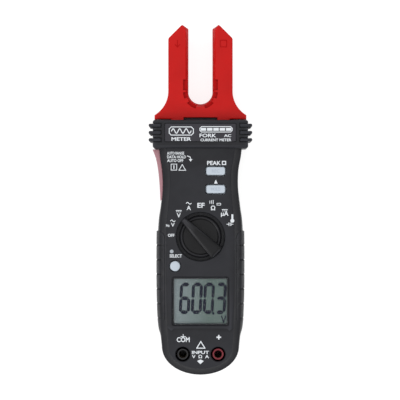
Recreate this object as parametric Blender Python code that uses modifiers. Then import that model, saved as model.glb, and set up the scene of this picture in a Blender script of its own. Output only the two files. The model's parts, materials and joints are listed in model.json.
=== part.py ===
"""Fork-type clamp meter, lying on its back.

Metres.  +Z leaves the front face, +Y points to the fork's tips, and Z = 0 is the
flat back that the meter rests on.  X = 0 is the plane of symmetry.
"""

import math

import bmesh
import bpy
import numpy

GAP = 0.0003                      # clearance between touching pieces

# --- levels along Z -------------------------------------------------------------------
REAR_TOP = 0.0130                 # rear case's rim
FRONT_BASE = REAR_TOP + GAP       # front case's rim
PAST_RIM = (0.0120, 0.0145)       # both halves are made past their rims, then trimmed
EDGE_Z = 0.0210                   # where the side turns into the front slope
FACE_Z = 0.0260                   # flat front panel
GUARD_Z = 0.0273                  # front of the hand guard
RIB_Z = 0.0280                    # front of the guard's ribs
INNER_FLOOR = 0.0022              # inside of the back
INNER_ROOF = 0.0238               # inside of the front panel
BOARD_LOW = 0.0164
BOARD_HIGH = 0.0180
ON_BOARD = BOARD_HIGH + GAP

# --- case outline ---------------------------------------------------------------------
CASE_SIDE = (                     # (Y, half-width of the front)
    (0.0310, 0.0228),
    (0.0240, 0.0221),
    (0.0160, 0.0207),
    (0.0070, 0.0205),
    (-0.0040, 0.0214),
    (-0.0150, 0.0223),
    (-0.0460, 0.0224),
    (-0.0660, 0.0218),
    (-0.0800, 0.0209),
)
SIDE_SWELL = (                    # (Y, how far the side stands out beyond the front)
    (-0.0800, 0.0002),
    (-0.0740, 0.0004),
    (-0.0700, 0.0013),
    (-0.0650, 0.0016),
    (-0.0172, 0.0016),
    (-0.0166, 0.0008),
    (0.0070, 0.0),
)
CASE_END_Y = -0.0950              # the lower end is half an ellipse
WALL = 0.0020

# --- guard, name plate and fork -------------------------------------------------------
GUARD_Y = (0.02775, 0.0431)
GUARD_HALF = 0.02575
RIB_YS = (0.0401, 0.0362, 0.0323)
RIB_HALF = 0.0279
RIB_WIDTH = 0.0017
PLATE_HALF = 0.0194
PLATE_Y = (0.0311, 0.0413)
FORK_Z = (0.0060, 0.0200)
FORK_WALL = 0.0015
FORK_GAP_RADIUS = 0.0066
FORK_GAP_Y = 0.0586               # centre of the gap's round end
FORK_HALF = 0.0175
FORK_TIP_Y = 0.0950
FORK_TIP_X = 0.0099
FORK_CHAMFER_Y = 0.0875
FORK_BASE_HALF = 0.02495
FORK_BASE_Y = (0.0437, 0.0460)
FORK_NECK_HALF = 0.0159
FORK_NECK_Y = 0.0260
FLARE_TOP_Y = 0.0590
FLARE_RADIUS = 0.01507

# --- controls -------------------------------------------------------------------------
KNOB_Y = -0.0199
KNOB_RADIUS = 0.0115
KNOB_POINTER = 0.0136
KNOB_TAIL = 0.0127
KNOB_TOP = 0.0315
RECESS_RADIUS = 0.0131
RECESS_FLOOR = 0.0235
KNOB_ANGLE = math.radians(135)    # the way the pointer looks at rest
KEY_SIZE = (0.0101, 0.0043)
KEY_RADIUS = 0.0011
KEY_PLACES = {"rec_key": (0.0082, 0.0155), "hold_key": (0.0082, 0.0057)}
SELECT_PLACE = (-0.0137, -0.0358)
SELECT_RADIUS = 0.0027
KEY_TOP = 0.0269
KEY_FLANGE_Z = (0.0223, 0.0232)

# --- display and sockets --------------------------------------------------------------
LCD_Y = -0.0548
WINDOW = (0.0304, 0.0260)
SOCKET_X = 0.009525               # half of the standard 19.05 mm spacing
SOCKET_Y = -0.0834
SOCKET_HOLE = 0.00395

# --- battery space --------------------------------------------------------------------
CELL_RADIUS = 0.00525
CELL_LENGTH = 0.0435
CELL_X = 0.0056
CELL_Z = 0.00795
BAY_HALF = 0.0122
BAY_Y = (-0.0647, -0.0123)
BAY_ROOF = 0.0135
DOOR_HALF = 0.0129
DOOR_Y = (-0.0730, -0.0116)
DOOR_Z = (0.0003, 0.0020)
DOOR_SCREW_Y = -0.0690
LOWER_SCREW = (0.0153, -0.0773)
UPPER_SCREW = (0.0200, 0.0353)
BOARD_SCREW = (0.0115, 0.0213)

COLOURS = {                       # colour, roughness, metallic
    "case_black": ((0.032, 0.032, 0.038), 0.55, 0.0),
    "fork_red": ((0.55, 0.022, 0.018), 0.38, 0.0),
    "plate_grey": ((0.035, 0.034, 0.042), 0.45, 0.0),
    "clear_lens": ((0.75, 0.80, 0.80), 0.08, 0.0),
    "lcd_green": ((0.20, 0.24, 0.23), 0.20, 0.0),
    "key_pale": ((0.68, 0.76, 0.85), 0.50, 0.0),
    "socket_black": ((0.012, 0.012, 0.014), 0.45, 0.0),
    "socket_red": ((0.42, 0.03, 0.03), 0.40, 0.0),
    "brass": ((0.65, 0.48, 0.20), 0.30, 1.0),
    "steel": ((0.55, 0.56, 0.58), 0.35, 1.0),
    "board_green": ((0.02, 0.13, 0.05), 0.50, 0.0),
    "copper": ((0.60, 0.26, 0.12), 0.35, 1.0),
    "core_grey": ((0.22, 0.22, 0.24), 0.45, 0.8),
    "part_black": ((0.03, 0.03, 0.03), 0.40, 0.0),
    "rubber_grey": ((0.25, 0.26, 0.28), 0.80, 0.0),
    "disc_blue": ((0.05, 0.12, 0.40), 0.50, 0.0),
    "cell_jacket": ((0.45, 0.46, 0.48), 0.35, 0.6),
    "frame_white": ((0.70, 0.70, 0.68), 0.50, 0.0),
}


# --- scene and helpers ----------------------------------------------------------------
for old_object in list(bpy.data.objects):
    bpy.data.objects.remove(old_object, do_unlink=True)

PARTS = bpy.data.collections.new("clamp_meter")
CUTTERS = bpy.data.collections.new("cutters")
bpy.context.scene.collection.children.link(PARTS)
bpy.context.scene.collection.children.link(CUTTERS)


def make_material(node, look):
    colour, roughness, metallic = COLOURS[look]
    material = bpy.data.materials.new(node)
    material.use_nodes = True
    shader = material.node_tree.nodes["Principled BSDF"]
    shader.inputs["Base Color"].default_value = (*colour, 1.0)
    shader.inputs["Roughness"].default_value = roughness
    shader.inputs["Metallic"].default_value = metallic
    return material


def add_mesh(name, mesh):
    """A new object, kept with the cutters until finish() makes it a part."""
    piece = bpy.data.objects.new(name, mesh)
    CUTTERS.objects.link(piece)
    piece.hide_render = True
    piece.display_type = "WIRE"
    return piece


def finish(piece, look):
    """Turn a shape into a finished part with its own material."""
    CUTTERS.objects.unlink(piece)
    PARTS.objects.link(piece)
    piece.hide_render = False
    piece.display_type = "TEXTURED"
    piece.data.materials.append(make_material(piece.name, look))
    return piece


def from_bmesh(name, shape):
    bmesh.ops.recalc_face_normals(shape, faces=shape.faces)
    mesh = bpy.data.meshes.new(name)
    shape.to_mesh(mesh)
    shape.free()
    return add_mesh(name, mesh)


def bevel(piece, width, segments=2):
    rounding = piece.modifiers.new("rounding", "BEVEL")
    rounding.width = width
    rounding.segments = segments
    rounding.limit_method = "ANGLE"
    rounding.angle_limit = math.radians(50)
    return piece


def boolean(target, tool, operation):
    step = target.modifiers.new(tool.name, "BOOLEAN")
    step.operation = operation
    step.object = tool
    return target


def cut(target, *tools):
    for tool in tools:
        boolean(target, tool, "DIFFERENCE")


def join(target, *tools):
    for tool in tools:
        boolean(target, tool, "UNION")


def box(name, x, y, z):
    """A box from its low and high value along each axis."""
    shape = bmesh.new()
    bmesh.ops.create_cube(shape, size=1.0)
    centre = [sum(pair) / 2 for pair in (x, y, z)]
    sides = [pair[1] - pair[0] for pair in (x, y, z)]
    for corner in shape.verts:
        corner.co = [centre[i] + corner.co[i] * sides[i] for i in range(3)]
    return from_bmesh(name, shape)


def cylinder(name, place, radius, z, segments=24, axis="Z"):
    """A cylinder; place holds the other two coordinates, z the span along the axis."""
    bpy.ops.mesh.primitive_cylinder_add(vertices=segments, radius=radius, depth=z[1] - z[0])
    piece = bpy.context.object
    piece.name = name
    middle = (z[0] + z[1]) / 2
    if axis == "Y":
        piece.location = (place[0], middle, place[1])
        piece.rotation_euler = (math.radians(90), 0, 0)
    else:
        piece.location = (place[0], place[1], middle)
    for holder in list(piece.users_collection):
        holder.objects.unlink(piece)
    CUTTERS.objects.link(piece)
    piece.hide_render = True
    piece.display_type = "WIRE"
    piece.data.shade_smooth()
    piece.data.set_sharp_from_angle(angle=math.radians(40))
    return piece


def prism(name, outline, z):
    """A flat outline given a thickness, as a closed mesh."""
    curve = bpy.data.curves.new(name + "_outline", "CURVE")
    curve.dimensions = "2D"
    curve.fill_mode = "BOTH"
    curve.extrude = (z[1] - z[0]) / 2
    spline = curve.splines.new("POLY")
    spline.points.add(len(outline) - 1)
    for point, (x, y) in zip(spline.points, outline):
        point.co = (x, y, 0, 1)
    spline.use_cyclic_u = True
    holder = bpy.data.objects.new(name + "_outline", curve)
    holder.location.z = (z[0] + z[1]) / 2
    bpy.context.scene.collection.objects.link(holder)
    graph = bpy.context.evaluated_depsgraph_get()
    mesh = bpy.data.meshes.new_from_object(holder.evaluated_get(graph))
    mesh.transform(holder.matrix_world)
    shape = bmesh.new()
    shape.from_mesh(mesh)
    bmesh.ops.remove_doubles(shape, verts=shape.verts, dist=0.00001)
    bmesh.ops.dissolve_limit(shape, angle_limit=0.001, verts=shape.verts, edges=shape.edges)
    bpy.data.objects.remove(holder, do_unlink=True)
    return from_bmesh(name, shape)


def turned(name, profile, place, segments=24):
    """A profile of (radius, height) points, listed top to bottom outside, turned about Z."""
    shape = bmesh.new()
    corners = [shape.verts.new((radius, 0, height)) for radius, height in profile]
    for first, second in zip(corners, corners[1:]):
        shape.edges.new((first, second))
    if profile[0][0] > 0:
        shape.edges.new((corners[-1], corners[0]))
    mesh = bpy.data.meshes.new(name)
    shape.to_mesh(mesh)
    shape.free()
    piece = add_mesh(name, mesh)
    piece.location = place
    screw = piece.modifiers.new("turn", "SCREW")
    screw.steps = segments
    screw.render_steps = segments
    screw.use_merge_vertices = True
    screw.merge_threshold = 0.00001
    screw.use_smooth_shade = True
    return piece


def loft(name, rings):
    """Closed skin over rings of (x, y, z) points, each with the same point count."""
    shape = bmesh.new()
    loops = [[shape.verts.new(point) for point in ring] for ring in rings]
    count = len(loops[0])
    for lower, upper in zip(loops, loops[1:]):
        for i in range(count):
            j = (i + 1) % count
            shape.faces.new((lower[i], lower[j], upper[j], upper[i]))
    shape.faces.new(loops[0])
    shape.faces.new(loops[-1])
    return from_bmesh(name, shape)


def mirrored(half):
    """Close a right-hand half outline with its mirror image."""
    left = [(-x, y) for x, y in reversed(half) if x > 1e-6]
    return half + left


def offset_inward(outline, distance):
    """Move each side of a counter-clockwise outline towards its inside."""
    points = numpy.array(outline)
    before = points - numpy.roll(points, 1, axis=0)
    after = numpy.roll(points, -1, axis=0) - points
    normals = []
    for edge in (before, after):
        edge /= numpy.linalg.norm(edge, axis=1)[:, None]
        normals.append(numpy.stack((-edge[:, 1], edge[:, 0]), axis=1))
    mitre = normals[0] + normals[1]
    mitre /= 1 + numpy.sum(normals[0] * normals[1], axis=1)[:, None]
    return [tuple(point) for point in points + mitre * distance]


# --- outlines -------------------------------------------------------------------------
def smooth_side(steps=3):
    """(Y, half-width) along a Catmull-Rom curve through CASE_SIDE, from the shoulder down."""
    knots = [numpy.array(knot) for knot in CASE_SIDE]
    knots = [2 * knots[0] - knots[1]] + knots + [2 * knots[-1] - knots[-2]]
    points = []
    for a, b, c, d in zip(knots, knots[1:], knots[2:], knots[3:]):
        for step in range(steps):
            t = step / steps
            curve = 2 * b + (c - a) * t + (2 * a - 5 * b + 4 * c - d) * t ** 2
            points.append(tuple((curve + (3 * b - a - 3 * c + d) * t ** 3) / 2))
    points.append(CASE_SIDE[-1])
    heights = [y for y, half in reversed(points)]
    halves = [half for y, half in reversed(points)]
    for y in (SIDE_SWELL[-3][0], SIDE_SWELL[-2][0]):
        points.append((y, float(numpy.interp(y, heights, halves))))
    return sorted(points, reverse=True)


def swell_at(y):
    return float(numpy.interp(y, [knot[0] for knot in SIDE_SWELL], [knot[1] for knot in SIDE_SWELL]))


def case_ring(z, inset, swell):
    """The case's outline at height z, counter-clockwise from the lower end."""
    side = [(half + swell * swell_at(y) - inset, y) for y, half in smooth_side()]
    end_half, end_y = side[-1]
    depth = end_y - CASE_END_Y - inset
    steps = 9
    end = []
    for step in range(1, steps):
        angle = math.radians(90) * step / steps
        end.append((end_half * math.cos(angle), end_y - depth * math.sin(angle)))
    end.append((0.0, end_y - depth))
    half = list(reversed(side + end))
    return [(x, y, z) for x, y in mirrored(half)]


def fork_outline(flared=True):
    """Counter-clockwise outline of the fork and its neck; unflared, its sides stay straight."""
    half = []
    for step in range(9):
        angle = math.radians(-90 + 90 * step / 8)
        x = FORK_GAP_RADIUS * math.cos(angle)
        half.append((max(x, 0.0), FORK_GAP_Y + FORK_GAP_RADIUS * math.sin(angle)))
    half += [(FORK_GAP_RADIUS, FORK_TIP_Y - 0.002), (FORK_TIP_X, FORK_TIP_Y)]
    half.append((FORK_HALF, FORK_CHAMFER_Y))
    sweep = math.asin((FLARE_TOP_Y - FORK_BASE_Y[1]) / FLARE_RADIUS)
    if flared:
        for step in range(7):
            angle = math.pi + sweep * step / 6
            x = FORK_HALF + FLARE_RADIUS + FLARE_RADIUS * math.cos(angle)
            half.append((x, FLARE_TOP_Y + FLARE_RADIUS * math.sin(angle)))
        half += [(FORK_BASE_HALF, FORK_BASE_Y[0]), (FORK_NECK_HALF, FORK_BASE_Y[0])]
    else:
        half += [(FORK_HALF, FORK_BASE_Y[1]), (FORK_NECK_HALF, FORK_BASE_Y[0])]
    half.append((FORK_NECK_HALF, FORK_NECK_Y))
    left = [(-x, y) for x, y in reversed(half[1:])]
    return list(reversed(half + left))


# --- case halves ----------------------------------------------------------------------
def guard_block(half_name):
    """The hand guard's outer form with its ribs, through both halves of the case."""
    block = box(half_name + "_guard", (-GUARD_HALF, GUARD_HALF), GUARD_Y, (0.0, GUARD_Z))
    bevel(block, 0.0012)
    pieces = [block]
    for side in (-1, 1):
        for number, y in enumerate(RIB_YS):
            span = sorted((side * 0.0210, side * RIB_HALF))
            name = f"{half_name}_rib_{number}_{'left' if side < 0 else 'right'}"
            rib = box(name, span, (y - RIB_WIDTH / 2, y + RIB_WIDTH / 2), (0.0004, RIB_Z))
            pieces.append(bevel(rib, 0.0008))
    return pieces


def mirrored_cylinders(name, place, radius, z, segments=20):
    return [
        cylinder(f"{name}_{i}", (side * place[0], place[1]), radius, z, segments)
        for i, side in enumerate((-1, 1))
    ]


FRONT_RINGS = (
    (PAST_RIM[0], 0.0, 1.0), (0.0180, 0.0002, 0.8), (EDGE_Z, 0.0005, 0.0),
    (0.0218, 0.0009, 0.0), (0.0254, 0.0038, 0.0), (FACE_Z, 0.0044, 0.0),
)
FRONT_HOLLOW = (
    (0.0100, WALL, 1.0), (0.0180, 0.0023, 0.8), (EDGE_Z, 0.0031, 0.0), (INNER_ROOF, 0.0054, 0.0),
)
REAR_RINGS = ((0.0, 0.0032, 1.0), (0.0012, 0.0012, 1.0), (0.0036, 0.0, 1.0), (PAST_RIM[1], 0.0, 1.0))
REAR_HOLLOW = ((INNER_FLOOR, 0.0040, 1.0), (0.0040, 0.0024, 1.0), (0.0170, WALL, 1.0))


def rings_of(levels):
    return [case_ring(*level) for level in levels]


def insert_outline(grow):
    """Side insert: outer face swings out towards the guard; grow adds clearance."""
    outer = ((0.0273, 0.0260), (0.0225, 0.0242), (0.0162, 0.0230), (0.0094, 0.0223), (-0.0004, 0.0218))
    inner = ((-0.0004, 0.0203), (0.0094, 0.0202), (0.0162, 0.0207), (0.0225, 0.0216), (0.0273, 0.0220))
    outline = [(-half, y) for y, half in outer + inner]
    return offset_inward(outline, -grow)


def make_case():
    upper_hollow = ((-0.0235, 0.0235), (0.0290, 0.0413), (0.0020, 0.0250))
    neck_hole = box(
        "neck_hole", (-FORK_NECK_HALF - GAP, FORK_NECK_HALF + GAP), (0.0380, 0.0460),
        (FORK_Z[0] - GAP, FORK_Z[1] + GAP))
    insert_pocket = prism("insert_pocket", insert_outline(GAP), (0.0070 - GAP, 0.0200 + GAP))

    front = loft("front_case", rings_of(FRONT_RINGS))
    join(front, *guard_block("front"))
    cut(front, loft("front_hollow", rings_of(FRONT_HOLLOW)), box("front_guard_hollow", *upper_hollow))
    join(front, cylinder("knob_seat", (0, KNOB_Y), 0.0151, (0.0215, 0.0250), 40))
    join(front, *mirrored_cylinders("front_lower_boss", LOWER_SCREW, 0.0030, (PAST_RIM[0], 0.0240)))
    join(front, *mirrored_cylinders("front_upper_boss", UPPER_SCREW, 0.0030, (PAST_RIM[0], 0.0255)))
    join(front, *mirrored_cylinders("board_boss", BOARD_SCREW, 0.0023, (ON_BOARD, 0.0240)))
    cut(front, *mirrored_cylinders("front_lower_pilot", LOWER_SCREW, 0.0015, (0.0100, 0.0200)))
    cut(front, *mirrored_cylinders("front_upper_pilot", UPPER_SCREW, 0.0015, (0.0100, 0.0200)))
    cut(front, *mirrored_cylinders("board_pilot", BOARD_SCREW, 0.0013, (0.0150, 0.0223)))
    cut(front, neck_hole, insert_pocket)
    cut(front, box("plate_pocket", (-PLATE_HALF, PLATE_HALF), PLATE_Y, (0.0267, 0.0300)))
    cut(front, cylinder("knob_recess", (0, KNOB_Y), RECESS_RADIUS, (RECESS_FLOOR, 0.0300), 40))
    cut(front, cylinder("shaft_hole", (0, KNOB_Y), 0.0036, (0.0200, 0.0300)))
    for name, place in KEY_PLACES.items():
        cut(front, key_block(name + "_hole", place, 0.0003, (0.0220, 0.0300)))
    cut(front, cylinder("select_hole", SELECT_PLACE, SELECT_RADIUS + 0.0003, (0.0220, 0.0300)))
    cut(front, window_box("window_recess", 0.0, (0.0248, 0.0300)))
    cut(front, window_box("window_hole", 0.0006, (0.0200, 0.0300)))
    socket = (SOCKET_X, SOCKET_Y)
    cut(front, *mirrored_cylinders("socket_hole", socket, SOCKET_HOLE, (0.0200, 0.0300), 28))
    cut(front, *mirrored_cylinders("socket_room", socket, 0.0054, (0.0100, 0.0236), 28))
    cut(front, box("below_front", (-0.05, 0.05), (-0.12, 0.12), (-0.01, FRONT_BASE)))
    finish(front, "case_black")

    rear = loft("rear_case", rings_of(REAR_RINGS))
    join(rear, *guard_block("rear"))
    cut(rear, loft("rear_hollow", rings_of(REAR_HOLLOW)), box("rear_guard_hollow", *upper_hollow))
    join(rear, *mirrored_cylinders("rear_lower_boss", LOWER_SCREW, 0.0030, (0.0010, PAST_RIM[1])))
    join(rear, *mirrored_cylinders("rear_upper_boss", UPPER_SCREW, 0.0030, (0.0010, PAST_RIM[1])))
    cut(rear, box("above_rear", (-0.05, 0.05), (-0.12, 0.12), (REAR_TOP, 0.05)))
    join(rear, box("bay_block", (-0.0144, 0.0144), (-0.0741, -0.0103), (0.0010, BAY_ROOF + 0.0012)))
    cut(rear, box("bay", (-BAY_HALF, BAY_HALF), BAY_Y, (-0.0100, BAY_ROOF)))
    door_half = DOOR_HALF + GAP
    cut(rear, box("door_pocket", (-door_half, door_half), (DOOR_Y[0] - GAP, DOOR_Y[1] + GAP),
                  (-0.0100, DOOR_Z[1] + GAP)))
    cut(rear, cylinder("door_screw_hole", (0, DOOR_SCREW_Y), 0.0015, (-0.0010, 0.0100), 20))
    for name, place in (("lower", LOWER_SCREW), ("upper", UPPER_SCREW)):
        cut(rear, *mirrored_cylinders(name + "_head_room", place, 0.00245, (-0.0010, 0.0033)))
        cut(rear, *mirrored_cylinders(name + "_shank_room", place, 0.0015, (0.0010, 0.0200)))
    cut(rear, neck_hole, insert_pocket)
    finish(rear, "case_black")

    finish(prism("side_insert", insert_outline(0.0), (0.0070, 0.0200)), "fork_red")
    plate = box("name_plate", (-PLATE_HALF + GAP, PLATE_HALF - GAP),
                (PLATE_Y[0] + GAP, PLATE_Y[1] - GAP), (0.0270, 0.0277))
    finish(plate, "plate_grey")


# --- fork -----------------------------------------------------------------------------
def u_line(radius, top):
    """Down one prong, round the gap's end and up the other prong."""
    half = [(radius, top)]
    for step in range(9):
        angle = math.radians(-90 * step / 8)
        half.append((max(radius * math.cos(angle), 0.0), FORK_GAP_Y + radius * math.sin(angle)))
    return half + [(-x, y) for x, y in reversed(half[:-1])]


def make_fork():
    outline = fork_outline()
    hollow = offset_inward(fork_outline(flared=False), FORK_WALL)
    keeps = {"front": (-0.01, FRONT_BASE), "rear": (REAR_TOP, 0.05)}
    for half_name, removed in keeps.items():
        rounding = ((0, 0.0010), (0.0003, 0.0003), (0.0010, 0))
        levels = [(FORK_Z[0] + step, inset) for step, inset in rounding]
        levels += [(FORK_Z[1] - step, inset) for step, inset in reversed(rounding)]
        rings = [[(x, y, z) for x, y in offset_inward(outline, inset)] for z, inset in levels]
        shell = loft(f"fork_{half_name}_shell", rings)
        cut(shell, box(f"fork_{half_name}_parting", (-0.05, 0.05), (-0.12, 0.12), removed))
        hollow_z = (FORK_Z[0] + FORK_WALL, FORK_Z[1] - FORK_WALL)
        cut(shell, prism(f"fork_{half_name}_hollow", hollow, hollow_z))
        if half_name == "front":
            cut(shell, box("fork_notch", (-0.0092, 0.0092), (0.0420, 0.0448), (0.0180, 0.0300)))
        finish(shell, "fork_red")

    inner, outer, top = 0.0104, 0.0136, 0.0860
    core_line = u_line(inner, top) + list(reversed(u_line(outer, top)))
    finish(prism("fork_core", core_line, (0.0095, 0.0165)), "core_grey")

    for side, name in ((-1, "fork_coil_left"), (1, "fork_coil_right")):
        middle = side * (inner + outer) / 2
        coil = box(name, (middle - 0.0034, middle + 0.0034), (0.0620, 0.0780), (0.0080, 0.0180))
        bevel(coil, 0.0010, 1)
        cut(coil, box(name + "_bore", (middle - 0.0019, middle + 0.0019), (0.06, 0.08), (0.0092, 0.0168)))
        finish(coil, "copper")
    finish(box("fork_board", (-0.0120, 0.0120), (0.0290, 0.0420), (0.0118, 0.0130)), "board_green")


# --- keys, knob and rotor -------------------------------------------------------------
def key_block(name, place, grow, z):
    outline = []
    half_x = KEY_SIZE[0] / 2 + grow
    half_y = KEY_SIZE[1] / 2 + grow
    for corner in range(4):
        sign_x = 1 if corner in (0, 3) else -1
        sign_y = 1 if corner in (0, 1) else -1
        for step in range(5):
            angle = math.radians(90 * corner + 90 * step / 4)
            x = sign_x * (half_x - KEY_RADIUS) + KEY_RADIUS * math.cos(angle)
            y = sign_y * (half_y - KEY_RADIUS) + KEY_RADIUS * math.sin(angle)
            outline.append((place[0] + x, place[1] + y))
    return prism(name, outline, z)


def make_keys():
    for name, place in KEY_PLACES.items():
        key = key_block(name, place, 0.0, (KEY_FLANGE_Z[0], KEY_TOP))
        join(key, key_block(name + "_flange", place, 0.0006, KEY_FLANGE_Z))
        finish(key, "key_pale")
    profile = (
        (0, KEY_TOP), (0.0020, KEY_TOP), (SELECT_RADIUS, KEY_TOP - 0.0005),
        (SELECT_RADIUS, KEY_FLANGE_Z[1]), (0.0032, KEY_FLANGE_Z[1]),
        (0.0032, KEY_FLANGE_Z[0]), (0, KEY_FLANGE_Z[0]),
    )
    finish(turned("select_key", profile, (*SELECT_PLACE, 0)), "key_pale")

    mat = box("key_mat", (0.0018, 0.0146), (0.0018, 0.0186), (ON_BOARD, 0.0192))
    for name, place in KEY_PLACES.items():
        join(mat, cylinder(name + "_dome", place, 0.0017, (0.0190, 0.0209), 16))
    finish(mat, "rubber_grey")
    finish(cylinder("select_mat", SELECT_PLACE, 0.0030, (ON_BOARD, 0.0209), 20), "rubber_grey")


def handle_outline():
    """The knob's tapered bar: a narrow pointer and a wide, blunt tail."""
    right = ((KNOB_POINTER, 0.0006), (KNOB_POINTER - 0.0006, 0.0012), (-KNOB_TAIL + 0.0012, 0.0039),
             (-KNOB_TAIL, 0.0028))
    points = list(right) + [(x, -y) for x, y in reversed(right)]
    turn = KNOB_ANGLE
    return [
        (x * math.cos(turn) - y * math.sin(turn), KNOB_Y + x * math.sin(turn) + y * math.cos(turn))
        for x, y in points
    ]


def arc_strip(name, inner, outer, span, z):
    """A flat strip bent around the knob's axis."""
    angles = [math.radians(-span / 2 + span * step / 8) for step in range(9)]
    outside = [(outer * math.cos(a), KNOB_Y + outer * math.sin(a)) for a in angles]
    inside = [(inner * math.cos(a), KNOB_Y + inner * math.sin(a)) for a in reversed(angles)]
    return prism(name, outside + inside, z)


def make_selector():
    profile = (
        (0, 0.0267), (0.0103, 0.0267), (KNOB_RADIUS, 0.0243), (KNOB_RADIUS, 0.0238),
        (0.0032, 0.0238), (0.0032, 0.0210), (0, 0.0210),
    )
    knob = turned("selector_knob", profile, (0, KNOB_Y, 0), 40)
    join(knob, bevel(prism("knob_handle", handle_outline(), (0.0263, KNOB_TOP)), 0.0006))
    finish(knob, "case_black")
    rotor_profile = ((0, 0.0207), (0.0095, 0.0207), (0.0095, 0.0188), (0, 0.0188))
    finish(turned("selector_rotor", rotor_profile, (0, KNOB_Y, 0), 32), "frame_white")
    wiper_z = (ON_BOARD, 0.0185)
    finish(arc_strip("wiper_inner", 0.0045, 0.0055, 70, wiper_z), "brass")
    finish(arc_strip("wiper_outer", 0.0072, 0.0082, 70, wiper_z), "brass")
    bow = []
    for radius in (0.0098, 0.0101):
        angles = [math.radians(-125 + 70 * step / 8) for step in range(9)]
        arc = [(radius * math.cos(a), KNOB_Y + radius * math.sin(a)) for a in angles]
        bow.append(arc if radius > 0.0100 else list(reversed(arc)))
    finish(prism("detent_spring", bow[1] + bow[0], (0.0190, 0.0204)), "steel")


# --- display --------------------------------------------------------------------------
def window_box(name, shrink, z):
    half_x = WINDOW[0] / 2 - shrink
    half_y = WINDOW[1] / 2 - shrink
    return box(name, (-half_x, half_x), (LCD_Y - half_y, LCD_Y + half_y), z)


def make_display():
    finish(window_box("display_lens", GAP, (0.0251, 0.0258)), "clear_lens")
    finish(window_box("lcd_glass", -0.0010, (0.0217, 0.0235)), "lcd_green")
    frame = window_box("lcd_frame", -0.0022, (ON_BOARD, 0.0214))
    cut(frame, window_box("lcd_frame_window", 0.0002, (0.0170, 0.0230)))
    finish(frame, "frame_white")
    for name, sign in (("lcd_strip_upper", 1), ("lcd_strip_lower", -1)):
        middle = LCD_Y + sign * 0.0112
        strip = box(name, (-0.0140, 0.0140), (middle - 0.0010, middle + 0.0010), (ON_BOARD, 0.0214))
        finish(strip, "rubber_grey")


# --- sockets --------------------------------------------------------------------------
def make_sockets():
    cup = (
        (0.0051, 0.0235), (0.0051, 0.0025), (0.0003, 0.0025), (0.0003, 0.0037), (0.0027, 0.0037),
        (0.0027, 0.0234), (0.0021, 0.0236), (0.0021, 0.0246), (0.00315, 0.0246), (0.00315, 0.0040),
        (0.0043, 0.0040), (0.0043, 0.0235),
    )
    contact = ((0.0024, 0.0230), (0.0024, 0.0040), (0.00205, 0.0040), (0.00205, 0.0230))
    for side, name, look in ((-1, "com", "socket_black"), (1, "volt", "socket_red")):
        place = (side * SOCKET_X, SOCKET_Y, 0)
        finish(turned(name + "_socket", cup, place, 28), look)
        finish(turned(name + "_contact", contact, place, 28), "brass")


# --- electronics ----------------------------------------------------------------------
def make_board():
    board = box("main_board", (-0.0172, 0.0172), (-0.0735, 0.0240), (BOARD_LOW, BOARD_HIGH))
    cut(board, *mirrored_cylinders("board_hole", BOARD_SCREW, 0.0013, (0.0100, 0.0200), 16))
    finish(board, "board_green")
    under = BOARD_LOW - GAP
    finish(cylinder("buzzer", (0, 0.0110), 0.0060, (under - 0.0026, under), 28), "part_black")
    finish(cylinder("ptc_thermistor", (-0.0100, 0.0125), 0.0032, (-0.0045, -0.0020), 20, "Y"), "disc_blue")
    finish(cylinder("surge_varistor", (0.0100, 0.0125), 0.0035, (-0.0045, -0.0020), 20, "Y"), "disc_blue")
    finish(box("meter_chip", (-0.0150, -0.0040), (0.0020, 0.0130), (ON_BOARD, 0.0198)), "part_black")
    crystal = box("crystal", (-0.0140, -0.0080), (-0.0050, -0.0030), (ON_BOARD, 0.0200))
    finish(bevel(crystal, 0.0006), "steel")
    for side, name in ((-1, "board_screw_1"), (1, "board_screw_2")):
        screw = (
            (0, 0.0220), (0.0010, 0.0220), (0.0010, under), (0.0020, under), (0.0020, under - 0.0014),
            (0, under - 0.0014),
        )
        finish(turned(name, screw, (side * BOARD_SCREW[0], BOARD_SCREW[1], 0), 12), "steel")


# --- battery, door and fasteners ------------------------------------------------------
def spring_between(name, x, y_low, y_high):
    """Conical contact spring along Y."""
    curve = bpy.data.curves.new(name, "CURVE")
    curve.dimensions = "3D"
    curve.bevel_depth = 0.0003
    curve.bevel_resolution = 1
    curve.use_fill_caps = True
    turns, steps = 3, 10
    count = turns * steps + 1
    spline = curve.splines.new("POLY")
    spline.points.add(count - 1)
    for i, point in enumerate(spline.points):
        share = i / (count - 1)
        angle = 2 * math.pi * turns * share
        radius = 0.0034 - 0.0014 * share
        y = y_low + 0.0003 + (y_high - y_low - 0.0006) * share
        point.co = (x + radius * math.cos(angle), y, CELL_Z + radius * math.sin(angle), 1)
    holder = bpy.data.objects.new(name + "_wire", curve)
    bpy.context.scene.collection.objects.link(holder)
    graph = bpy.context.evaluated_depsgraph_get()
    mesh = bpy.data.meshes.new_from_object(holder.evaluated_get(graph))
    shape = bmesh.new()
    shape.from_mesh(mesh)
    bmesh.ops.remove_doubles(shape, verts=shape.verts, dist=0.00001)
    bpy.data.objects.remove(holder, do_unlink=True)
    finish(from_bmesh(name, shape), "steel")


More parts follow.
